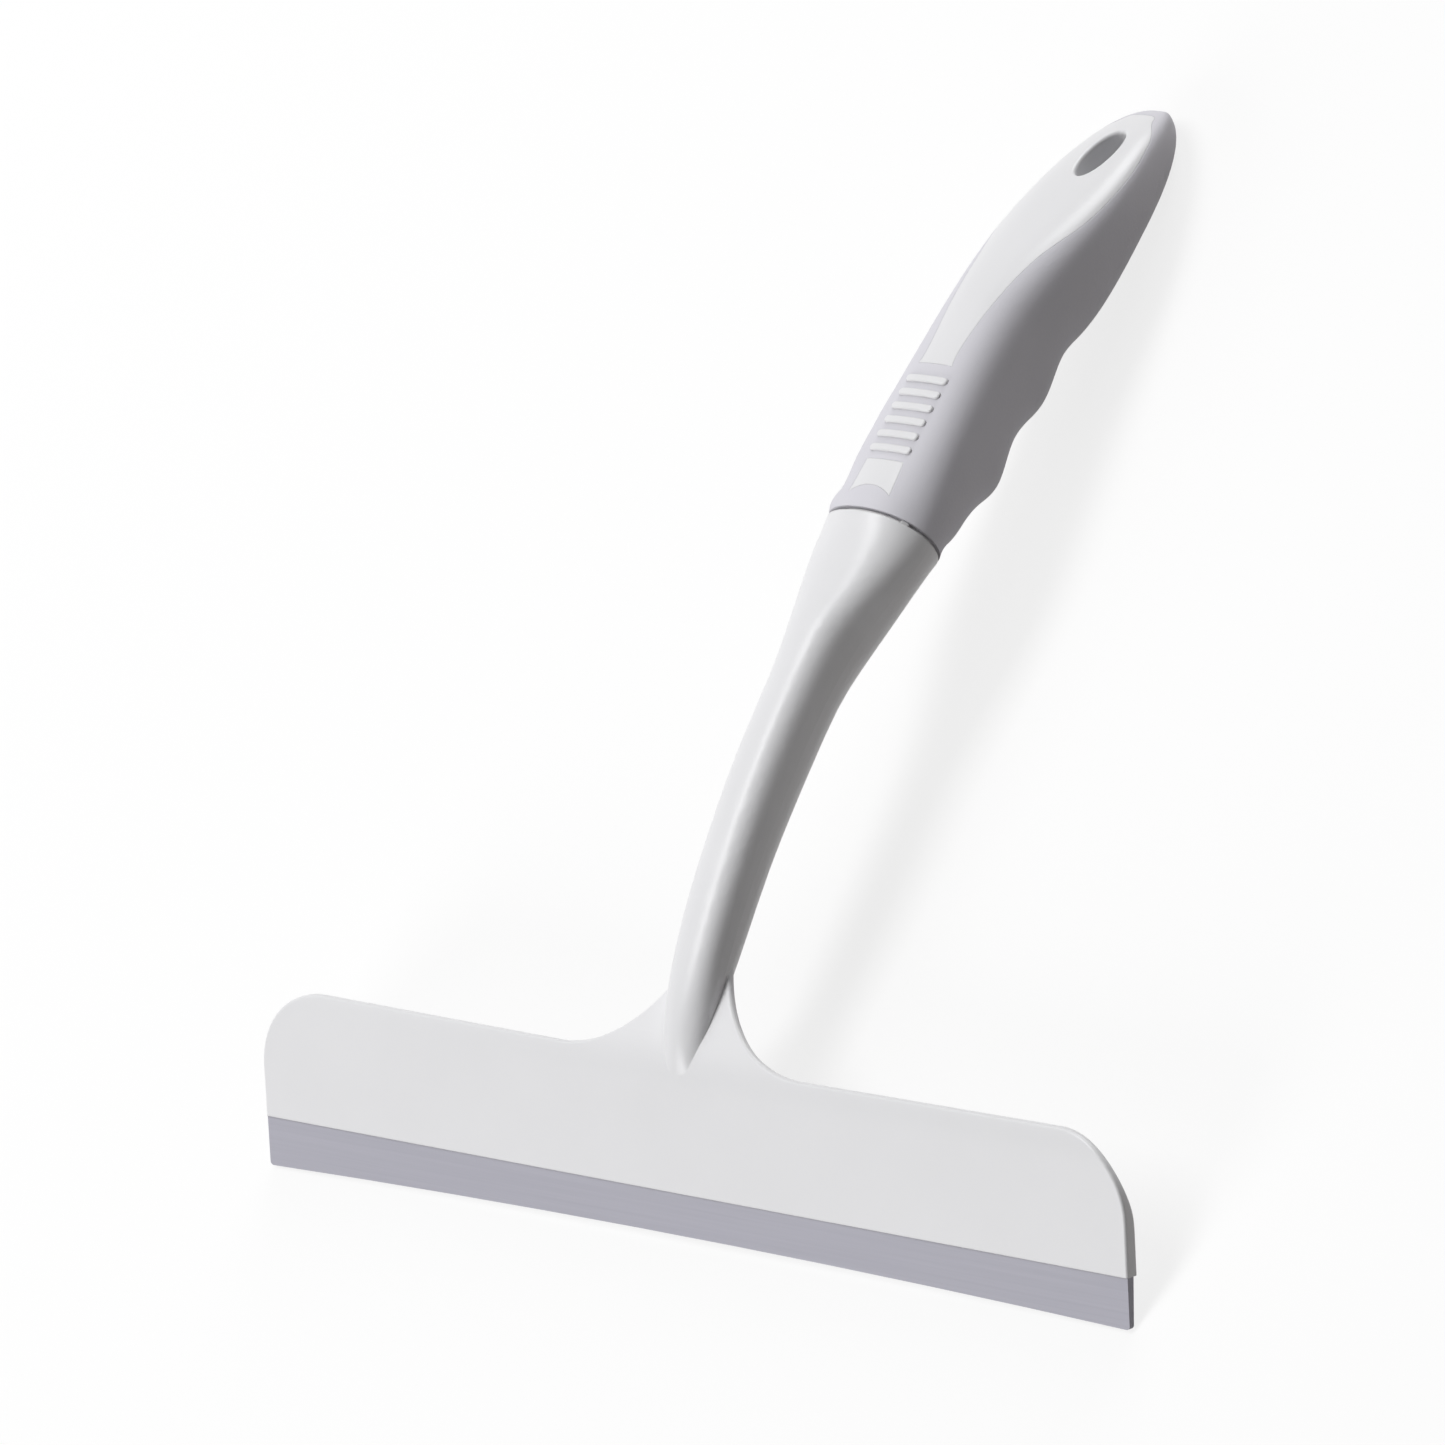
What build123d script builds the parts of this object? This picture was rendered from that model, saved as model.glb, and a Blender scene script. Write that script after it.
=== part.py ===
"""Window cleaning squeegee: a T-shaped hand tool with a rubber blade and a soft grip.

The tool is drawn standing, with the head plate upright on its blade, and is then laid down
on its blade edge and handle end, thumb side up. X runs along the blade and Z is up.
"""
import math
import os

from build123d import *

# Head plate
HEAD_LENGTH = 220.0
PLATE_HEIGHT = 25.5
PLATE_THICKNESS = 3.0
PLATE_CORNER_RADIUS = 16.0
PLATE_TOP_DIP = 0.7
PLATE_EDGE_RADIUS = 0.6

# Neck webs, which thin out and bend back from the plate to the sides of the stem
WEB_THICKNESS = 1.6
WEB_LEAN = 33.0
WEB_BEND_RADIUS = 17.6
NECK_HALF_WIDTH = 2.7
NECK_ARC_RADIUS = 28.0

# Wiper blade: a lip nearly flush with the plate's front, held by a bead in a slot in the plate
BLADE_SHOW = 9.9
BLADE_SET_BACK = 0.3
BLADE_ROOT = 1.7
BLADE_TIP = 1.1
BLADE_BOW = 1.6
BLADE_CORNER_RADIUS = 0.8
BLADE_END_INSET = 0.2
BLADE_WEB = 0.8
BEAD_RADIUS = 0.75
BEAD_DEPTH = 4.0
BLADE_CLEARANCE = 0.1
LIP_GAP = 0.05
SLOT_END_WALL = 1.5

# Spine of the stem and handle: two arcs in the plane of symmetry, leaning back
SPINE_BACK = 2.0
SPINE_LEAN = 21.7
STEM_BEND_RADIUS = 208.0
STEM_BEND_LENGTH = 69.0
HANDLE_BEND_RADIUS = 478.0

# Stem sections: share of the stem's length, half width, half depth in front and behind,
# and how square the front is (2 is an ellipse, more has flatter faces and tighter shoulders)
STEM_LENGTH = 109.8
ROOT_SINK = 3.0
ROOT_HALF_WIDTH = 3.6
ROOT_FRONT = 0.7
ROOT_BACK = 0.5
STEM_STATIONS = [
    (0.046, 5.0, 3.7, 3.4, 2.0),
    (0.110, 5.5, 4.9, 5.0, 2.3),
    (0.173, 5.6, 5.5, 6.2, 2.6),
    (0.355, 5.85, 6.35, 7.25, 2.7),
    (0.583, 6.05, 7.25, 7.8, 2.7),
    (0.720, 6.5, 7.9, 7.95, 2.65),
    (0.790, 7.5, 8.4, 8.85, 2.75),
    (0.850, 9.05, 8.2, 9.25, 2.85),
    (0.900, 10.5, 8.2, 9.25, 2.7),
    (0.950, 11.7, 8.55, 9.35, 2.4),
]
COLLAR_HALF_WIDTH = 12.4
COLLAR_FRONT = 9.6
COLLAR_BACK = 10.2
COLLAR_SQUARE = 2.15

# Joint between stem and handle
SEAM_GAP = 0.8
SEAM_DEPTH = 0.8
SEAT_CLEARANCE = 0.05
SPIGOT_HALF_WIDTH = 7.4
SPIGOT_HALF_DEPTH = 6.0
SPIGOT_LENGTH = 28.0
SPIGOT_CHAMFER = 1.0
SPIGOT_CLEARANCE = 0.08
SPIGOT_END_GAP = 0.5
TAB_WIDTH = 1.6
TAB_ANGLE = 50.0
CAVITY_HALF_WIDTH = 6.0
CAVITY_HALF_DEPTH = 4.4
CAVITY_DEPTH = 50.0

# Handle outside
HANDLE_BODY = 58.4
HANDLE_TIP = 52.0
TIP_SQUARE = 2.07
TIP_ANGLES = (15, 30, 45, 60, 71, 80, 86)
GRIP_HALF_WIDTH = 10.8
GRIP_TAPER = 42.0
GRIP_FRONT = 12.3
GRIP_FRONT_SQUARE = 2.85
GRIP_BACK_SQUARE = 2.3
FINGER_PITCH = 21.0
FINGER_DEPTH = 2.55
FINGER_SWELL = 3.8
FINGER_REST = 2.4
FIRST_CREST = 22.1
CREST_COUNT = 3
WAVE_START = 5.3
WAVE_GROW = 14.0
WAVE_FADE = 18.9
FLARE_START = 44.0
FLARE_LENGTH = 44.0
FLARE_WIDTH = 2.2
FLARE_FRONT = -3.4
FLARE_BACK = -1.5
FLARE_FRONT_SQUARE = 1.0
GRIP_WALL = 2.2
CORE_END_ANGLE = 60

# White areas on the thumb side: a tag, a row of ribs and a strip, by distance up the handle
TAG_FIRST = 3.3
TAG_LENGTH = 7.5
TAG_HALF_WIDTH = 5.1
TAG_TOP_HALF_WIDTH = 4.6
TAG_NOTCH = 1.7
RIB_GAP = 1.6
RIB_COUNT = 6
RIB_PITCH = 3.13
RIB_HALF_LENGTH = 5.1
RIB_THICKNESS = 1.6
RIB_RISE = 0.45
RIB_EDGE_RADIUS = 0.35
STRIP_GAP = 2.0
STRIP_END = 74.5
STRIP_OUTLINE = [
    (0.0, 4.2), (5.5, 4.0), (15.5, 5.2), (30.0, 7.5), (39.0, 9.7), (48.0, 10.35), (58.5, 9.5), (64.0, 8.2),
    (69.0, 6.1), (72.3, 3.8),
]

# Hang hole through the handle's end, with a rounded mouth on the thumb side
HOLE_FROM_END = 18.8
HOLE_HALF_LENGTH = 7.4
HOLE_HALF_WIDTH = 3.1
HOLE_EDGE_RADIUS = 0.7

PLATE_TOP = BLADE_SHOW + PLATE_HEIGHT
PLATE_MID = PLATE_THICKNESS / 2
HANDLE_START = STEM_LENGTH + SEAM_GAP
HANDLE_LENGTH = HANDLE_BODY + HANDLE_TIP
RIB_FIRST = TAG_FIRST + TAG_LENGTH + RIB_GAP + RIB_THICKNESS / 2
RIB_LAST = RIB_FIRST + (RIB_COUNT - 1) * RIB_PITCH
STRIP_START = RIB_LAST + RIB_THICKNESS / 2 + STRIP_GAP
SECTION_POINTS = 24
THROUGH = 3 * HEAD_LENGTH
CUT_REACH = 3 * GRIP_FRONT


def spine(s):
    """Point and lean of the spine at a distance from its root in the plate."""
    lean = math.radians(SPINE_LEAN)
    y = SPINE_BACK
    z = PLATE_TOP
    first = min(s, STEM_BEND_LENGTH)
    for radius, run in ((STEM_BEND_RADIUS, first), (HANDLE_BEND_RADIUS, s - first)):
        turned = lean + run / radius
        y += radius * (math.cos(lean) - math.cos(turned))
        z += radius * (math.sin(turned) - math.sin(lean))
        lean = turned
    return y, z, lean


def cross_plane(s):
    """Plane square to the spine: local x is along the blade and local y points back."""
    y, z, lean = spine(s)
    return Plane(origin=(0, y, z), x_dir=(1, 0, 0), z_dir=(0, math.sin(lean), math.cos(lean)))


def thumb_plane(s):
    """Plane facing the thumb: local x is along the blade and local y runs up the handle."""
    y, z, lean = spine(s)
    return Plane(origin=(0, y, z), x_dir=(1, 0, 0), z_dir=(0, -math.cos(lean), math.sin(lean)))


def ease(u):
    """Smooth step from 0 to 1."""
    u = max(0.0, min(1.0, u))
    return u * u * (3 - 2 * u)


def section(s, half_width, front, back, front_square=2.0, back_square=2.0):
    """Closed outline square to the spine, with its own depth and squareness in front and behind."""
    points = []
    for i in range(SECTION_POINTS):
        angle = 2 * math.pi * i / SECTION_POINTS
        across = math.cos(angle)
        along = math.sin(angle)
        depth, square = (back, back_square) if along > 0 else (front, front_square)
        x = half_width * math.copysign(abs(across) ** (2 / square), across)
        y = depth * math.copysign(abs(along) ** (2 / square), along)
        points.append(Vector(x, y, 0))
    outline = Edge.make_spline(points, periodic=True)
    return cross_plane(s) * Face(Wire([outline]))


def handle_sizes(run, inset=0.0):
    """Half width, front and back depth and squareness of the handle at a distance from its lower end."""
    settle = ease(run / FIRST_CREST)
    width = COLLAR_HALF_WIDTH + (GRIP_HALF_WIDTH - COLLAR_HALF_WIDTH) * ease(run / GRIP_TAPER)
    front = COLLAR_FRONT + (GRIP_FRONT - COLLAR_FRONT) * ease(run / HANDLE_BODY)
    last_crest = FIRST_CREST + (CREST_COUNT - 1) * FINGER_PITCH
    fall = ease((run - FIRST_CREST) / (last_crest - FIRST_CREST))
    back = COLLAR_BACK + FINGER_SWELL * settle - (FINGER_SWELL - FINGER_REST) * fall
    if run < last_crest:
        start = ease((run - WAVE_START) / WAVE_GROW)
        wave = start * math.cos(2 * math.pi * (run - FIRST_CREST) / FINGER_PITCH)
    else:
        wave = ease(1 - (run - last_crest) / WAVE_FADE)
    flare = ease((run - FLARE_START) / FLARE_LENGTH)
    width += FLARE_WIDTH * flare
    front += FLARE_FRONT * flare
    back += wave * FINGER_DEPTH / 2 + FLARE_BACK * flare
    tip = max(0.0, (run - HANDLE_BODY) / HANDLE_TIP)
    round_off = max(0.0, 1 - tip ** TIP_SQUARE) ** (1 / TIP_SQUARE)
    front_square = COLLAR_SQUARE + (GRIP_FRONT_SQUARE - COLLAR_SQUARE) * settle + FLARE_FRONT_SQUARE * flare
    back_square = 2 + (GRIP_BACK_SQUARE - 2) * settle
    sizes = [size * round_off - inset for size in (width, front, back)]
    return *sizes, front_square, back_square


def handle_runs(last_angle):
    """Distances of the handle's sections: even along the body, closer towards the tip."""
    count = round(4 * HANDLE_BODY / FINGER_PITCH)
    body = [HANDLE_BODY * i / count for i in range(count + 1)]
    tip = [HANDLE_BODY + HANDLE_TIP * math.sin(math.radians(a)) for a in TIP_ANGLES if a <= last_angle]
    return body + tip


def handle_loft(inset, last_angle):
    """Solid through the handle's sections, set in from its outside."""
    sections = [section(HANDLE_START + run, *handle_sizes(run, inset)) for run in handle_runs(last_angle)]
    return loft(sections)


def core_loft():
    """Plain oval body of the core, under the sleeve's wall."""
    sections = []
    for run in handle_runs(CORE_END_ANGLE):
        width, front, back, *_ = handle_sizes(run, GRIP_WALL)
        sections.append(section(HANDLE_START + run, width, front, back))
    return loft(sections)


def arc(centre, radius, first, last):
    """Arc about a centre between two angles in degrees."""
    turn = [math.radians(first + (last - first) * k / 2) for k in range(3)]
    return ThreePointArc(*[(centre[0] + radius * math.cos(t), centre[1] + radius * math.sin(t)) for t in turn])


def plate_outline():
    """Front view of the plate: rounded upper corners and arcs up to the neck."""
    half = HEAD_LENGTH / 2
    slope = math.atan2(PLATE_TOP_DIP, half)
    degrees = math.degrees(slope)
    corner_x = half - PLATE_CORNER_RADIUS
    corner = (corner_x, PLATE_TOP + corner_x * math.tan(slope) - PLATE_CORNER_RADIUS / math.cos(slope))
    neck_x = NECK_HALF_WIDTH + NECK_ARC_RADIUS
    neck = (neck_x, PLATE_TOP + neck_x * math.tan(slope) + NECK_ARC_RADIUS / math.cos(slope))
    corner_arc = arc(corner, PLATE_CORNER_RADIUS, 0, 90 + degrees)
    neck_arc = arc(neck, NECK_ARC_RADIUS, 270 + degrees, 180)
    edges = [
        Line((0, BLADE_SHOW), (half, BLADE_SHOW)),
        Line((half, BLADE_SHOW), corner_arc @ 0),
        corner_arc,
        Line(corner_arc @ 1, neck_arc @ 0),
        neck_arc,
        Line(neck_arc @ 1, (0, neck[1])),
        Line((0, neck[1]), (0, BLADE_SHOW)),
    ]
    right = make_face(edges)
    return right + mirror(right, about=Plane.YZ)


def plate_profile():
    """Side view of the plate: upright, thinner above the bead, then bent back to lie along the stem."""
    lean = math.radians(WEB_LEAN)
    centre = (WEB_BEND_RADIUS, PLATE_TOP - WEB_BEND_RADIUS * math.tan(lean / 2))
    front = arc(centre, WEB_BEND_RADIUS, 180, 180 - WEB_LEAN)
    back = arc(centre, WEB_BEND_RADIUS - WEB_THICKNESS, 180 - WEB_LEAN, 180)
    seat = (PLATE_THICKNESS, BLADE_SHOW + 2 * BEAD_DEPTH)
    taper = Spline(back @ 1, seat, tangents=[(0, -1), (0, -1)])
    reach = Vector(math.sin(lean), math.cos(lean)) * 2 * NECK_ARC_RADIUS
    edges = [
        Line((0, 0), front @ 0),
        front,
        Line(front @ 1, front @ 1 + reach),
        Line(front @ 1 + reach, back @ 0 + reach),
        Line(back @ 0 + reach, back @ 0),
        back,
        taper,
        Line(seat, (PLATE_THICKNESS, 0)),
        Line((PLATE_THICKNESS, 0), (0, 0)),
    ]
    return make_face(edges)


def make_plate():
    """Head plate with its rounded corners and the neck webs bent back."""
    shape = extrude(Plane.XZ * plate_outline(), THROUGH, both=True)
    slab = extrude(Plane.YZ * plate_profile(), THROUGH, both=True)
    return shape & slab


def make_stem():
    """Curved stem from its root in the plate up to the collar."""
    sections = [section(-ROOT_SINK, ROOT_HALF_WIDTH, ROOT_FRONT, ROOT_BACK)]
    for share, *sizes in STEM_STATIONS:
        sections.append(section(share * STEM_LENGTH, *sizes))
    sections.append(section(STEM_LENGTH, COLLAR_HALF_WIDTH, COLLAR_FRONT, COLLAR_BACK, COLLAR_SQUARE))
    return loft(sections)


def oval_bar(half_width, half_depth, start, length):
    """Straight oval bar along the seam's axis, from a distance above the collar."""
    face = cross_plane(STEM_LENGTH).offset(start) * Ellipse(half_width, half_depth)
    return extrude(face, length)


def make_plug():
    """Shoulder in the seam, locating tab and spigot."""
    shoulder = oval_bar(COLLAR_HALF_WIDTH - SEAM_DEPTH, COLLAR_FRONT - SEAM_DEPTH, -SEAM_GAP,
                        2 * SEAM_GAP - SEAT_CLEARANCE)
    spigot = oval_bar(SPIGOT_HALF_WIDTH, SPIGOT_HALF_DEPTH, 0, SPIGOT_LENGTH)
    spigot = chamfer(spigot.edges().sort_by(Axis.Z)[-1], SPIGOT_CHAMFER)
    angle = math.radians(TAB_ANGLE)
    tab_x = (COLLAR_HALF_WIDTH - TAB_WIDTH / 2) * math.sin(angle)
    tab_y = -(COLLAR_FRONT - TAB_WIDTH / 2) * math.cos(angle)
    height = 2 * SEAM_GAP - SEAT_CLEARANCE
    place = cross_plane(STEM_LENGTH) * Pos(tab_x, tab_y, height / 2 - SEAM_GAP) * Rot(0, 0, TAB_ANGLE)
    tab = place * Box(TAB_WIDTH, TAB_WIDTH, height)
    return shoulder + spigot + tab


def bead_profile(extra):
    """Side view of the blade's web and bead, with room all round."""
    bead_z = BLADE_SHOW + BEAD_DEPTH
    web = Pos(PLATE_MID, BLADE_SHOW) * Rectangle(BLADE_WEB + 2 * extra, 2 * BEAD_DEPTH)
    bead = Pos(PLATE_MID, bead_z) * Circle(BEAD_RADIUS + extra)
    return web + bead


def bead_bar(extra, left, wall):
    """Web and bead along the blade, stopping short of the right end."""
    length = left + HEAD_LENGTH / 2 - wall
    return extrude(Plane.YZ.offset(-left) * bead_profile(extra), length)


def make_blade():
    """Rubber blade: bead, web and a lip that thins towards its slightly bowed edge."""
    half = HEAD_LENGTH / 2 - BLADE_END_INSET
    top = BLADE_SHOW - LIP_GAP
    low = -BLADE_BOW
    front = BLADE_SET_BACK
    lip = make_face(Polyline((front, low), (front + BLADE_TIP, low), (front + BLADE_ROOT, top), (front, top),
                             close=True))
    bar = extrude(Plane.YZ * lip, half, both=True)
    bar = bar + bead_bar(0, half, SLOT_END_WALL + BLADE_CLEARANCE)
    high = BLADE_SHOW + 2 * BEAD_DEPTH
    radius = BLADE_CORNER_RADIUS
    edge = ThreePointArc((radius - half, 0), (0, BLADE_BOW), (half - radius, 0))
    right = arc((half - radius, radius), radius, 270, 360)
    left = arc((radius - half, radius), radius, 180, 270)
    outline = make_face([
        edge,
        right,
        Line(right @ 1, (half, high)),
        Line((half, high), (-half, high)),
        Line((-half, high), left @ 0),
        left,
    ])
    return bar & extrude(Plane.XZ * outline, THROUGH, both=True)


def make_head():
    """Plate, webs, stem, collar and plug in one moulding, with the blade's slot."""
    plate = make_plate()
    rim = [e for e in plate.edges() if e.center().Z > BLADE_SHOW + LIP_GAP and abs(e.center().X) > NECK_HALF_WIDTH]
    plate = fillet(rim, PLATE_EDGE_RADIUS)
    slot = bead_bar(BLADE_CLEARANCE, HEAD_LENGTH, SLOT_END_WALL)
    return plate + make_stem() + make_plug() - slot


def thumb_prism(face, run):
    """Tool through the thumb side of the handle, from a drawing with x across and y up the handle."""
    return extrude(thumb_plane(HANDLE_START + run) * Pos(0, -run) * face, CUT_REACH)


def strip_tool():
    """White strip: narrow at its lower end, wide round the hang hole."""
    points = [(x, STRIP_START + y) for y, x in STRIP_OUTLINE]
    side = Spline(*points, (0, STRIP_START + STRIP_END), tangents=[(-0.3, 1), (-1, 0)])
    low = (0, STRIP_START)
    half = make_face([Line(low, points[0]), side, Line(side @ 1, low)])
    return thumb_prism(half + mirror(half, about=Plane.YZ), STRIP_START + STRIP_END / 2)


def rib_tools():
    """Row of short bars with rounded ends."""
    tools = []
    for i in range(RIB_COUNT):
        run = RIB_FIRST + i * RIB_PITCH
        bar = SlotOverall(2 * RIB_HALF_LENGTH, RIB_THICKNESS)
        tools.append(thumb_prism(Pos(0, run) * bar, run))
    return tools


def tag_tool():
    """Small tag with an arc notch in its lower edge."""
    low = TAG_FIRST
    high = TAG_FIRST + TAG_LENGTH
    notch = ThreePointArc((-TAG_HALF_WIDTH, low), (0, low + TAG_NOTCH), (TAG_HALF_WIDTH, low))
    sides = Polyline((TAG_HALF_WIDTH, low), (TAG_TOP_HALF_WIDTH, high), (-TAG_TOP_HALF_WIDTH, high),
                     (-TAG_HALF_WIDTH, low))
    return thumb_prism(make_face([notch, sides]), low + TAG_LENGTH / 2)


def hole_plane():
    """Plane facing the thumb at the middle of the hang hole."""
    return thumb_plane(HANDLE_START + HANDLE_LENGTH - HOLE_FROM_END)


def make_hole():
    """Oval hang hole, square to the thumb side."""
    return extrude(hole_plane() * Ellipse(HOLE_HALF_WIDTH, HOLE_HALF_LENGTH), CUT_REACH, both=True)


def round_mouth(core):
    """Core with the mouth of its hang hole rounded on the thumb side."""
    mouth = []
    for edge in core.edges():
        middle = hole_plane().to_local_coords(edge.center())
        if middle.Z > GRIP_WALL and math.hypot(middle.X, middle.Y) < HOLE_HALF_LENGTH:
            mouth.append(edge)
    return fillet(mouth, HOLE_EDGE_RADIUS)


def make_ribs(tools):
    """Thumb ribs that stand proud of the grip, with rounded upper edges."""
    raised = handle_loft(-RIB_RISE, 0)
    ribs = []
    for tool in tools:
        rib = (raised & tool).solids()[0]
        plane = thumb_plane(HANDLE_START + RIB_FIRST)
        top = max(rib.faces(), key=lambda face: plane.to_local_coords(face.center()).Z)
        ribs.append(fillet(top.edges(), RIB_EDGE_RADIUS))
    return ribs


def make_socket():
    """Socket for the spigot, with the narrower hollow above it."""
    seat = oval_bar(SPIGOT_HALF_WIDTH + SPIGOT_CLEARANCE, SPIGOT_HALF_DEPTH + SPIGOT_CLEARANCE, 0,
                    SPIGOT_LENGTH + SPIGOT_END_GAP)
    hollow = oval_bar(CAVITY_HALF_WIDTH, CAVITY_HALF_DEPTH, 0, CAVITY_DEPTH)
    return seat + hollow


def make_handle():
    """White core and grey sleeve, which meet without a gap; only the core's ribs stand proud."""
    outside = handle_loft(0, TIP_ANGLES[-1])
    inside = core_loft()
    strip = strip_tool()
    tag = tag_tool()
    ribs = rib_tools()
    hole = make_hole()
    sleeve = outside - inside - [strip, tag, *ribs] - hole
    core = inside + (outside & strip) + (outside & tag)
    for rib in make_ribs(ribs):
        core = core + rib
    core = round_mouth(core - hole) - make_socket()
    return core, sleeve


def lie_angle():
    """Tilt that lays the tool on the back of its blade's edge and the lowest side of its handle."""
    heel = (BLADE_SET_BACK + BLADE_TIP, 0)
    leans = []
    for run in handle_runs(TIP_ANGLES[-1]):
        back = handle_sizes(run)[2]
        y, z, lean = spine(HANDLE_START + run)
        leans.append(math.atan2(z - back * math.sin(lean) - heel[1], y + back * math.cos(lean) - heel[0]))
    return math.degrees(min(leans))


def main():
    """Build the four pieces, lay them down and write them out."""
    head = make_head()
    blade = make_blade()
    core, sleeve = make_handle()
    tilt = lie_angle()
    turn = Rot(-tilt, 0, 0)
    pieces = {"head_frame": head, "wiper_blade": blade, "handle_core": core, "grip_sleeve": sleeve}
    pieces = {name: turn * shape for name, shape in pieces.items()}
    box = Compound(list(pieces.values())).bounding_box()
    shift = Pos(0, -box.center().Y, -box.min.Z)
    os.makedirs("parts", exist_ok=True)
    for name, shape in pieces.items():
        export_step(shift * shape, f"parts/{name}.step")
    print("tilt", tilt, "shift", shift.position)


if __name__ == "__main__":
    main()
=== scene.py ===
"""Window cleaning squeegee: finishes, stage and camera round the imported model."""
import math

import bpy
from bpy.props import FloatProperty, FloatVectorProperty, PointerProperty
from mathutils import Matrix, Vector

bl_info = {
    "name": "Window Cleaning Squeegee",
    "version": (1, 0, 0),
    "blender": (4, 5, 0),
    "location": "3D View > Sidebar > Squeegee",
    "description": "Dresses the squeegee's parts and sets up its studio",
    "category": "Object",
}

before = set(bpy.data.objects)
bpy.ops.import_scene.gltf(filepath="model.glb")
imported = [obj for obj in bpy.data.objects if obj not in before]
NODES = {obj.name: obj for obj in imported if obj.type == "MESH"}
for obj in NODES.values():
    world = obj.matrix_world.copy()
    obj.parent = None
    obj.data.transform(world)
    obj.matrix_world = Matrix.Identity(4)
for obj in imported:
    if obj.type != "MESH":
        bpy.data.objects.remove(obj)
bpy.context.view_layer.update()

# White plastic and grip rubber: roughness, and depth of the moulded grain in metres
PLASTIC_ROUGHNESS = 0.34
PLASTIC_GRAIN_DEPTH = 0.00002
GRIP_ROUGHNESS = 0.62
GRIP_GRAIN_DEPTH = 0.00004

# Every moulded surface: strength of its grain, and what its mottle does to tone and roughness
GRAIN_STRENGTH = 0.5
MOTTLE_TONE = 1.03
MOTTLE_ROUGHNESS = 0.06
# Share of the painted shade colour in a closed corner, where shade falls
CORNER_SHADE_SHARE = 0.6

# Blade rubber: shade and roughness from a streak's low end to its high end, and the streaks' relief
STREAK_SHADE = (-0.6, 1.2)
STREAK_ROUGHNESS = (0.42, 0.58)
STREAK_STRENGTH = 0.4
STREAK_DEPTH = 0.00003

# Floor and background: FLOOR_GLOW is the part of the floor that stays white in the shadow
WHITE = (1, 1, 1, 1)
FLOOR_GREY = (0.40, 0.385, 0.375, 1)
FLOOR_ROUGHNESS = 0.9
FLOOR_GLOW = 0.8

# Farthest point that the camera shows, in metres
CAMERA_REACH = 50

# Soft lights: name, direction from under the middle, distance, size along and across the horizon
SOFTBOXES = (
    ("overhead", (-0.3, 0.05, 0.95), 2.2, 1.8, 0.6),
    ("front", (-0.28, -0.87, 0.41), 2.4, 1.2, 1.0),
    ("back", (-0.1, 0.9, 0.42), 2.4, 1.2, 1.0),
)


class SqueegeeFinish(bpy.types.PropertyGroup):
    """Colours and surface sizes of the squeegee's materials."""

    plastic: FloatVectorProperty(
        name="White plastic", description="Colour of the head and the handle's core",
        subtype="COLOR", size=3, min=0, max=1, default=(0.80, 0.80, 0.815))
    # Painted shade: the darker colour that the white plastic takes in inside corners, where shade
    # falls
    plastic_painted_shade: FloatVectorProperty(
        name="Plastic in corners", description="Colour of the white plastic where dust gathers",
        subtype="COLOR", size=3, min=0, max=1, default=(0.52, 0.50, 0.49))
    grip: FloatVectorProperty(
        name="Grip rubber", description="Colour of the sleeve on the handle",
        subtype="COLOR", size=3, min=0, max=1, default=(0.68, 0.672, 0.718))
    # Painted shade: the darker colour that the sleeve and the blade take in inside corners, where
    # shade falls
    grip_painted_shade: FloatVectorProperty(
        name="Grip in corners", description="Colour of the sleeve where dust gathers",
        subtype="COLOR", size=3, min=0, max=1, default=(0.40, 0.395, 0.42))
    blade: FloatVectorProperty(
        name="Blade rubber", description="Colour of the wiper blade",
        subtype="COLOR", size=3, min=0, max=1, default=(0.435, 0.43, 0.492))
    blade_shade: FloatVectorProperty(
        name="Blade streaks", description="Darker colour of the blade's long streaks",
        subtype="COLOR", size=3, min=0, max=1, default=(0.39, 0.386, 0.445))
    grain: FloatProperty(
        name="Grain size", description="Width of one grain of the moulded surface",
        unit="LENGTH", default=0.0005, min=0.0001, max=0.01)
    mottle: FloatProperty(
        name="Mottle size", description="Width of the soft changes of tone",
        unit="LENGTH", default=0.018, min=0.001, max=0.2)
    # How far the painted corner shade spreads from an inside corner, as the ambient occlusion
    # distance
    corner_reach: FloatProperty(
        name="Corner reach", description="How far dust spreads from an inside corner",
        unit="LENGTH", default=0.0022, min=0.0001, max=0.02)
    edge_softness: FloatProperty(
        name="Edge softness", description="Radius of the softened moulded edges",
        unit="LENGTH", default=0.0003, min=0, max=0.002)
    streak_length: FloatProperty(
        name="Streak length", description="Length of the streaks along the blade",
        unit="LENGTH", default=0.05, min=0.001, max=0.5)
    streak_width: FloatProperty(
        name="Streak width", description="Width of the streaks along the blade",
        unit="LENGTH", default=0.0006, min=0.0001, max=0.02)


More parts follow.
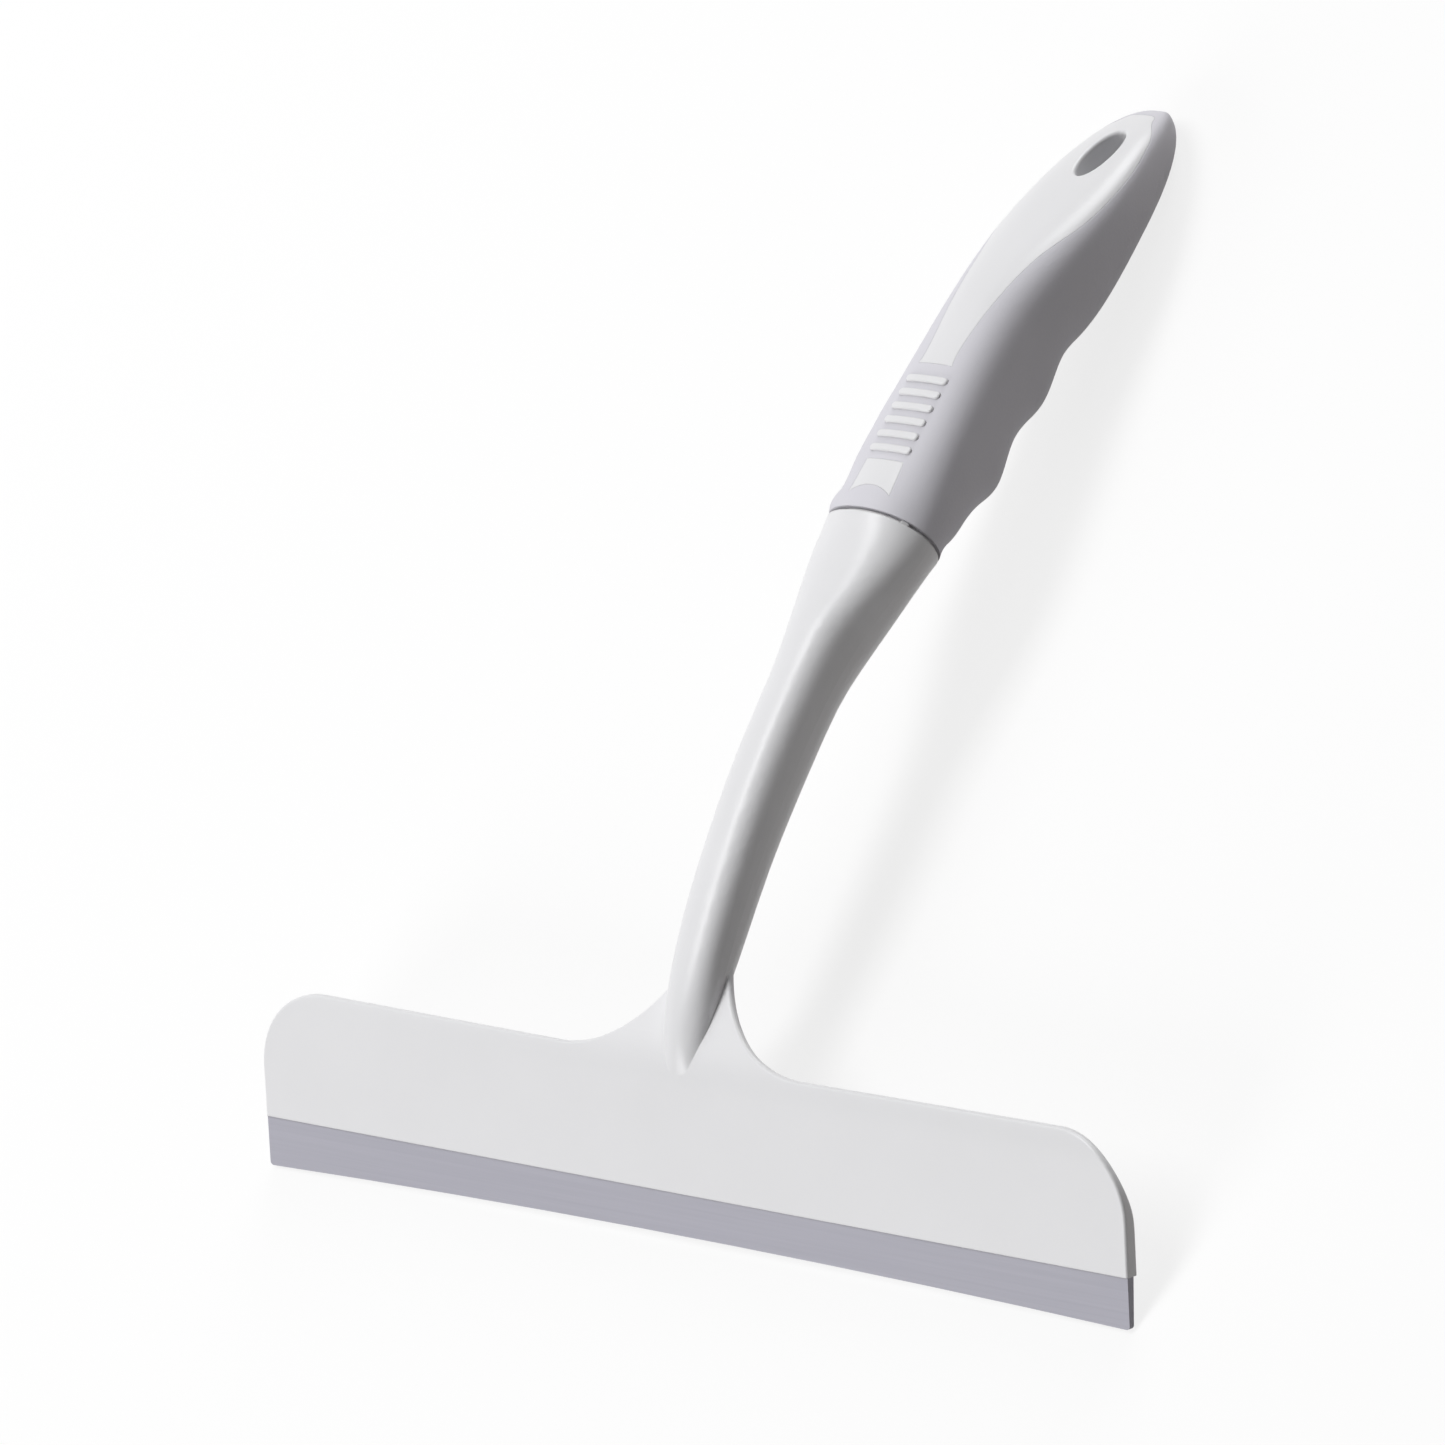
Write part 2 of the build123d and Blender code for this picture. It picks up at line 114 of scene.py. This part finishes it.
class SqueegeeStage(bpy.types.PropertyGroup):
    """Camera, lights and floor."""

    azimuth: FloatProperty(
        name="Camera azimuth", description="Turn of the camera round the squeegee",
        subtype="ANGLE", default=math.radians(67.1029))
    elevation: FloatProperty(
        name="Camera elevation", description="Height of the camera above the floor's horizon",
        subtype="ANGLE", default=math.radians(43.8474))
    roll: FloatProperty(
        name="Camera roll", description="Turn of the picture about the line of sight",
        subtype="ANGLE", default=math.radians(-50.0840))
    distance: FloatProperty(
        name="Camera distance", description="From the aim point to the camera",
        unit="LENGTH", default=2.096536)
    aim: FloatVectorProperty(
        name="Aim point", description="Point that the camera looks at",
        subtype="TRANSLATION", size=3, default=(-0.020293, -0.027245, 0.027427))
    lens: FloatProperty(
        name="Focal length", description="Of the camera's lens",
        unit="CAMERA", default=274.05)
    floor_size: FloatProperty(
        name="Floor size", description="Side of the square floor",
        unit="LENGTH", default=6.0)
    overhead: FloatProperty(
        name="Overhead light", description="Power of the long soft light above",
        unit="POWER", default=29.3)
    front: FloatProperty(
        name="Front light", description="Power of the soft light in front of the head",
        unit="POWER", default=24.0)
    back: FloatProperty(
        name="Back light", description="Power of the soft light behind the handle",
        unit="POWER", default=24.0)
    room: FloatProperty(
        name="Room light", description="Strength of the even light from all round",
        default=0.08, min=0, max=1)


def set_inputs(node, values):
    """The node, with values on its input sockets by name, underscores standing for spaces."""
    for name, value in values.items():
        node.inputs[name.replace("_", " ")].default_value = value
    return node


def new_node(tree, kind, **values):
    """A node of that kind with its own values."""
    return set_inputs(tree.nodes.new(kind), values)


def calculate(tree, operation, first, second):
    """Result of a math node on two sockets or plain numbers."""
    node = tree.nodes.new("ShaderNodeMath")
    node.operation = operation
    for value, socket in zip((first, second), node.inputs):
        if isinstance(value, bpy.types.NodeSocket):
            tree.links.new(value, socket)
        else:
            socket.default_value = value
    return node.outputs[0]


def new_group(name, inputs, outputs):
    """An empty shader group with its named sockets, and its input and output nodes."""
    tree = bpy.data.node_groups.new(name, "ShaderNodeTree")
    for label, kind, default in inputs:
        socket = tree.interface.new_socket(label, in_out="INPUT", socket_type=kind)
        socket.default_value = default
    for label, kind in outputs:
        tree.interface.new_socket(label, in_out="OUTPUT", socket_type=kind)
    return tree, tree.nodes.new("NodeGroupInput"), tree.nodes.new("NodeGroupOutput")


def moulded_grain():
    """Group: fine grain of a moulded surface and a slow mottle, each from 0 to 1."""
    tree, ins, outs = new_group(
        "moulded_grain",
        [("Grain Size", "NodeSocketFloat", 0.0005), ("Mottle Size", "NodeSocketFloat", 0.02)],
        [("Grain", "NodeSocketFloat"), ("Mottle", "NodeSocketFloat")])
    place = tree.nodes.new("ShaderNodeTexCoord")
    for label, detail in (("Grain", 2.0), ("Mottle", 4.0)):
        scale = calculate(tree, "DIVIDE", 1.0, ins.outputs[label + " Size"])
        noise = new_node(tree, "ShaderNodeTexNoise", Detail=detail, Roughness=0.5)
        tree.links.new(place.outputs["Object"], noise.inputs["Vector"])
        tree.links.new(scale, noise.inputs["Scale"])
        tree.links.new(noise.outputs["Fac"], outs.inputs[label])
    return tree


def corner_dust():
    """Group: mask of painted shade in inside corners, from ambient occlusion, from 0 to the amount.
    """
    tree, ins, outs = new_group(
        "corner_dust",
        [("Reach", "NodeSocketFloat", 0.002), ("Amount", "NodeSocketFloat", 0.5)],
        [("Mask", "NodeSocketFloat")])
    # Ambient occlusion finds the inside corners where shade falls, for the painted shade
    hidden = tree.nodes.new("ShaderNodeAmbientOcclusion")
    hidden.samples = 8
    tree.links.new(ins.outputs["Reach"], hidden.inputs["Distance"])
    closed = calculate(tree, "SUBTRACT", 1.0, hidden.outputs["AO"])
    mask = calculate(tree, "MULTIPLY", closed, ins.outputs["Amount"])
    tree.links.new(mask, outs.inputs["Mask"])
    return tree


def long_streaks():
    """Group: thin streaks along the blade's length, from 0 to 1."""
    tree, ins, outs = new_group(
        "long_streaks",
        [("Length", "NodeSocketFloat", 0.05), ("Width", "NodeSocketFloat", 0.0006)],
        [("Streak", "NodeSocketFloat")])
    place = tree.nodes.new("ShaderNodeTexCoord")
    size = tree.nodes.new("ShaderNodeCombineXYZ")
    for label, axes in (("Length", "X"), ("Width", "YZ")):
        for axis in axes:
            tree.links.new(ins.outputs[label], size.inputs[axis])
    stretch = tree.nodes.new("ShaderNodeVectorMath")
    stretch.operation = "DIVIDE"
    tree.links.new(place.outputs["Object"], stretch.inputs[0])
    tree.links.new(size.outputs["Vector"], stretch.inputs[1])
    noise = new_node(tree, "ShaderNodeTexNoise", Scale=1.0, Detail=3.0, Roughness=0.55)
    tree.links.new(stretch.outputs["Vector"], noise.inputs["Vector"])
    tree.links.new(noise.outputs["Fac"], outs.inputs["Streak"])
    return tree


def place_group(tree, name, build, **values):
    """A node of the named group, built the first time it is asked for, with its own values."""
    node = tree.nodes.new("ShaderNodeGroup")
    node.node_tree = bpy.data.node_groups.get(name) or build()
    return set_inputs(node, values)


def mix_colour(tree, first, second, factor):
    """Mix of a colour or socket with a colour, by a mask socket."""
    mix = tree.nodes.new("ShaderNodeMixRGB")
    mix.inputs["Color2"].default_value = (*second, 1)
    if isinstance(first, bpy.types.NodeSocket):
        tree.links.new(first, mix.inputs["Color1"])
    else:
        mix.inputs["Color1"].default_value = (*first, 1)
    tree.links.new(factor, mix.inputs["Fac"])
    return mix.outputs["Color"]


def spread(tree, value, low, high):
    """A 0 to 1 socket spread between two values."""
    remap = new_node(tree, "ShaderNodeMapRange", To_Min=low, To_Max=high)
    tree.links.new(value, remap.inputs["Value"])
    return remap.outputs["Result"]


def new_material(name):
    """A material with a Principled shader, its tree and that shader."""
    material = bpy.data.materials.new(name)
    material.use_nodes = True
    tree = material.node_tree
    return material, tree, tree.nodes["Principled BSDF"]


def moulded_material(name, colour, shade, roughness, grain_depth, finish):
    """Moulded surface: mottled tone, painted shade in corners, uneven gloss, soft edges and a fine
    grain.
    """
    material, tree, shader = new_material(name)
    grain = place_group(tree, "moulded_grain", moulded_grain,
                        Grain_Size=finish.grain, Mottle_Size=finish.mottle)
    corner = place_group(tree, "corner_dust", corner_dust,
                         Reach=finish.corner_reach, Amount=CORNER_SHADE_SHARE)
    lighter = [min(1.0, part * MOTTLE_TONE) for part in colour]
    tone = mix_colour(tree, colour, lighter, grain.outputs["Mottle"])
    # Painted shade: the tone darkens towards the shade colour in inside corners
    tone = mix_colour(tree, tone, shade, corner.outputs["Mask"])
    tree.links.new(tone, shader.inputs["Base Color"])
    rough = spread(tree, grain.outputs["Mottle"],
                   roughness - MOTTLE_ROUGHNESS, roughness + MOTTLE_ROUGHNESS)
    tree.links.new(rough, shader.inputs["Roughness"])
    soft = new_node(tree, "ShaderNodeBevel", Radius=finish.edge_softness)
    bump = new_node(tree, "ShaderNodeBump", Strength=GRAIN_STRENGTH, Distance=grain_depth)
    tree.links.new(soft.outputs["Normal"], bump.inputs["Normal"])
    tree.links.new(grain.outputs["Grain"], bump.inputs["Height"])
    tree.links.new(bump.outputs["Normal"], shader.inputs["Normal"])
    return material


def white_plastic(name, finish):
    """Satin white plastic of the head and of the handle's core."""
    return moulded_material(name, finish.plastic, finish.plastic_painted_shade,
                            PLASTIC_ROUGHNESS, PLASTIC_GRAIN_DEPTH, finish)


def grip_rubber(finish):
    """Soft grey rubber of the sleeve."""
    return moulded_material("grip_rubber", finish.grip, finish.grip_painted_shade,
                            GRIP_ROUGHNESS, GRIP_GRAIN_DEPTH, finish)


def blade_rubber(finish):
    """Drawn rubber: long streaks of tone and gloss along the blade, and painted shade in corners.
    """
    material, tree, shader = new_material("blade_rubber")
    streaks = place_group(tree, "long_streaks", long_streaks,
                          Length=finish.streak_length, Width=finish.streak_width)
    corner = place_group(tree, "corner_dust", corner_dust,
                         Reach=finish.corner_reach, Amount=CORNER_SHADE_SHARE)
    streak = streaks.outputs["Streak"]
    shade = spread(tree, streak, *STREAK_SHADE)
    tone = mix_colour(tree, finish.blade, finish.blade_shade, shade)
    # Painted shade: the blade's tone darkens towards the grip's painted shade colour in inside
    # corners
    tone = mix_colour(tree, tone, finish.grip_painted_shade, corner.outputs["Mask"])
    tree.links.new(tone, shader.inputs["Base Color"])
    tree.links.new(spread(tree, streak, *STREAK_ROUGHNESS), shader.inputs["Roughness"])
    bump = new_node(tree, "ShaderNodeBump", Strength=STREAK_STRENGTH, Distance=STREAK_DEPTH)
    tree.links.new(streak, bump.inputs["Height"])
    tree.links.new(bump.outputs["Normal"], shader.inputs["Normal"])
    return material


def dress(node, material):
    """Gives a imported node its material."""
    slots = NODES[node].data.materials
    slots.clear()
    slots.append(material)


class SQUEEGEE_OT_head(bpy.types.Operator):
    """Dress the head plate and stem in white moulded plastic"""

    bl_idname = "squeegee.head"
    bl_label = "Head and stem"

    def execute(self, context):
        dress("head_frame", white_plastic("head_white_plastic", context.scene.squeegee_finish))
        return {"FINISHED"}


class SQUEEGEE_OT_handle(bpy.types.Operator):
    """Dress the handle's white core"""

    bl_idname = "squeegee.handle"
    bl_label = "Handle core"

    def execute(self, context):
        dress("handle_core", white_plastic("core_white_plastic", context.scene.squeegee_finish))
        return {"FINISHED"}


class SQUEEGEE_OT_grip(bpy.types.Operator):
    """Dress the soft grey sleeve"""

    bl_idname = "squeegee.grip"
    bl_label = "Grip sleeve"

    def execute(self, context):
        dress("grip_sleeve", grip_rubber(context.scene.squeegee_finish))
        return {"FINISHED"}


class SQUEEGEE_OT_blade(bpy.types.Operator):
    """Dress the rubber wiper blade"""

    bl_idname = "squeegee.blade"
    bl_label = "Wiper blade"

    def execute(self, context):
        dress("wiper_blade", blade_rubber(context.scene.squeegee_finish))
        return {"FINISHED"}


def view_frame(azimuth, elevation, roll):
    """Right, up and back directions of a camera at those angles."""
    back = Vector((math.sin(azimuth) * math.cos(elevation),
                   -math.cos(azimuth) * math.cos(elevation), math.sin(elevation)))
    level = Vector((math.cos(azimuth), math.sin(azimuth), 0))
    right = Matrix.Rotation(roll, 3, back) @ level
    return right, back.cross(right), back


def add_camera(stage):
    """Camera at the photograph's viewing angle."""
    camera = bpy.data.objects.new("camera", bpy.data.cameras.new("camera"))
    bpy.context.scene.collection.objects.link(camera)
    right, up, back = view_frame(stage.azimuth, stage.elevation, stage.roll)
    turn = Matrix((right, up, back)).transposed().to_4x4()
    camera.matrix_world = Matrix.Translation(Vector(stage.aim) + back * stage.distance) @ turn
    camera.data.lens = stage.lens
    camera.data.clip_end = CAMERA_REACH
    bpy.context.scene.camera = camera


def add_softbox(name, direction, distance, along, across, power):
    """Soft rectangular light that faces the squeegee, sized along and across the horizon."""
    lamp = bpy.data.lights.new(name, "AREA")
    lamp.shape = "RECTANGLE"
    lamp.size = along
    lamp.size_y = across
    lamp.energy = power
    light = bpy.data.objects.new(name, lamp)
    bpy.context.scene.collection.objects.link(light)
    way = Vector(direction).normalized()
    light.location = way * distance
    light.rotation_euler = way.to_track_quat("Z", "Y").to_euler()


def background_mask(tree):
    """Socket that is 1 where the camera, a gloss or a clear piece sees the background."""
    path = tree.nodes.new("ShaderNodeLightPath")
    mask = path.outputs["Is Camera Ray"]
    for label in ("Is Glossy Ray", "Is Transmission Ray"):
        mask = calculate(tree, "MAXIMUM", mask, path.outputs[label])
    return mask


def mix_shaders(tree, share, first, second):
    """Node that mixes two shader nodes, the second by the socket's share."""
    mix = tree.nodes.new("ShaderNodeMixShader")
    tree.links.new(share, mix.inputs["Fac"])
    tree.links.new(first.outputs[0], mix.inputs[1])
    tree.links.new(second.outputs[0], mix.inputs[2])
    return mix


def floor_material():
    """White to the camera with a faint shadow, and grey to the light that it sends back."""
    material, tree, shader = new_material("pale_floor")
    set_inputs(shader, {"Base Color": FLOOR_GREY, "Roughness": FLOOR_ROUGHNESS,
                        "Specular IOR Level": 0.0})
    seen = background_mask(tree)
    bright = new_node(tree, "ShaderNodeBsdfDiffuse", Color=WHITE)
    glow = new_node(tree, "ShaderNodeEmission", Color=WHITE, Strength=1.0)
    shaded = mix_shaders(tree, seen, shader, bright)
    surface = mix_shaders(tree, calculate(tree, "MULTIPLY", seen, FLOOR_GLOW), shaded, glow)
    tree.links.new(surface.outputs[0], tree.nodes["Material Output"].inputs["Surface"])
    return material


def add_floor(size):
    """Plain floor under the squeegee."""
    half = size / 2
    corners = [(-half, -half, 0), (half, -half, 0), (half, half, 0), (-half, half, 0)]
    mesh = bpy.data.meshes.new("floor")
    mesh.from_pydata(corners, [], [(0, 1, 2, 3)])
    mesh.materials.append(floor_material())
    floor = bpy.data.objects.new("floor", mesh)
    bpy.context.scene.collection.objects.link(floor)


def add_room(strength):
    """Even light from all round, white where the camera or a gloss sees it."""
    world = bpy.data.worlds.new("studio")
    bpy.context.scene.world = world
    world.use_nodes = True
    tree = world.node_tree
    background = tree.nodes["Background"]
    background.inputs["Color"].default_value = WHITE
    bright = spread(tree, background_mask(tree), strength, 1.0)
    tree.links.new(bright, background.inputs["Strength"])


class SQUEEGEE_OT_stage(bpy.types.Operator):
    """Set up the floor, the soft lights, the room and the camera"""

    bl_idname = "squeegee.stage"
    bl_label = "Stage"

    def execute(self, context):
        stage = context.scene.squeegee_stage
        context.scene.view_settings.view_transform = "Standard"
        add_floor(stage.floor_size)
        add_room(stage.room)
        for name, *place in SOFTBOXES:
            add_softbox(name, *place, getattr(stage, name))
        add_camera(stage)
        return {"FINISHED"}


class SQUEEGEE_PT_sidebar(bpy.types.Panel):
    """Buttons and settings of the squeegee"""

    bl_label = "Squeegee"
    bl_space_type = "VIEW_3D"
    bl_region_type = "UI"
    bl_category = "Squeegee"

    def draw(self, context):
        for operator in OPERATORS:
            self.layout.operator(operator.bl_idname)
        for group in (context.scene.squeegee_finish, context.scene.squeegee_stage):
            column = self.layout.column()
            for name in group.__annotations__:
                column.prop(group, name)


OPERATORS = (SQUEEGEE_OT_head, SQUEEGEE_OT_handle, SQUEEGEE_OT_grip, SQUEEGEE_OT_blade,
             SQUEEGEE_OT_stage)
CLASSES = (SqueegeeFinish, SqueegeeStage, *OPERATORS, SQUEEGEE_PT_sidebar)


def register():
    """Adds the classes, and the two groups of settings to the scene."""
    for cls in CLASSES:
        bpy.utils.register_class(cls)
    bpy.types.Scene.squeegee_finish = PointerProperty(type=SqueegeeFinish)
    bpy.types.Scene.squeegee_stage = PointerProperty(type=SqueegeeStage)


def unregister():
    """Takes the settings and the classes away again."""
    del bpy.types.Scene.squeegee_stage
    del bpy.types.Scene.squeegee_finish
    for cls in reversed(CLASSES):
        bpy.utils.unregister_class(cls)


def main():
    """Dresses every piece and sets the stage."""
    register()
    for operator in OPERATORS:
        group, name = operator.bl_idname.split(".")
        getattr(getattr(bpy.ops, group), name)()


if __name__ == "__main__":
    main()
